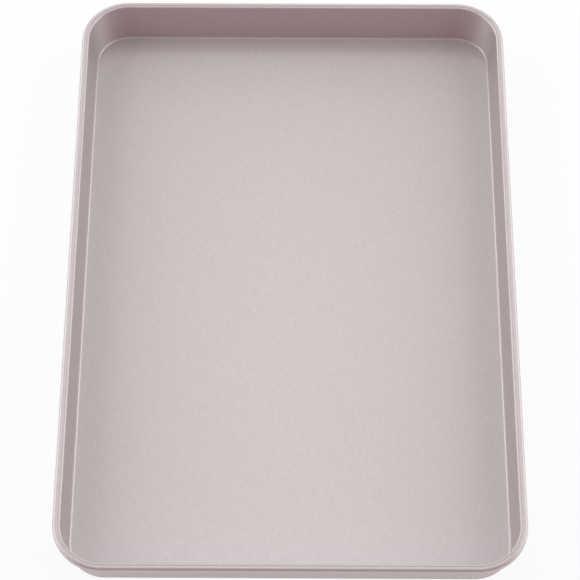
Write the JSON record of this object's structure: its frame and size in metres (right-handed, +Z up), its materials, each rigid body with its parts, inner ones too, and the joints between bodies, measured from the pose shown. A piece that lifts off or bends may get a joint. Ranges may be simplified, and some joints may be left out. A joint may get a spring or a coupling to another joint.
{
  "type": "jelly roll pan",
  "caption": "Shallow rectangular baking pan pressed from sheet steel, with rounded corners, drafted walls and a creased rim rolled over a stiffening wire, for sheet cakes and rolled cakes.",
  "frame": {"origin": "middle of the underside of the floor, where the pan rests on a surface", "axes": "+Z up out of the open side, +Y along the pan's length, +X across its width"},
  "size_m": [0.277, 0.407, 0.0294],
  "materials": {
    "champagne_coat": "satin metallic non-stick coat, champagne pink",
    "steel_wire": "drawn, bright zinc plated"
  },
  "bodies": {
    "root": {"pan_shell": "champagne_coat", "rim_wire": "steel_wire"}
  },
  "joints": []
}
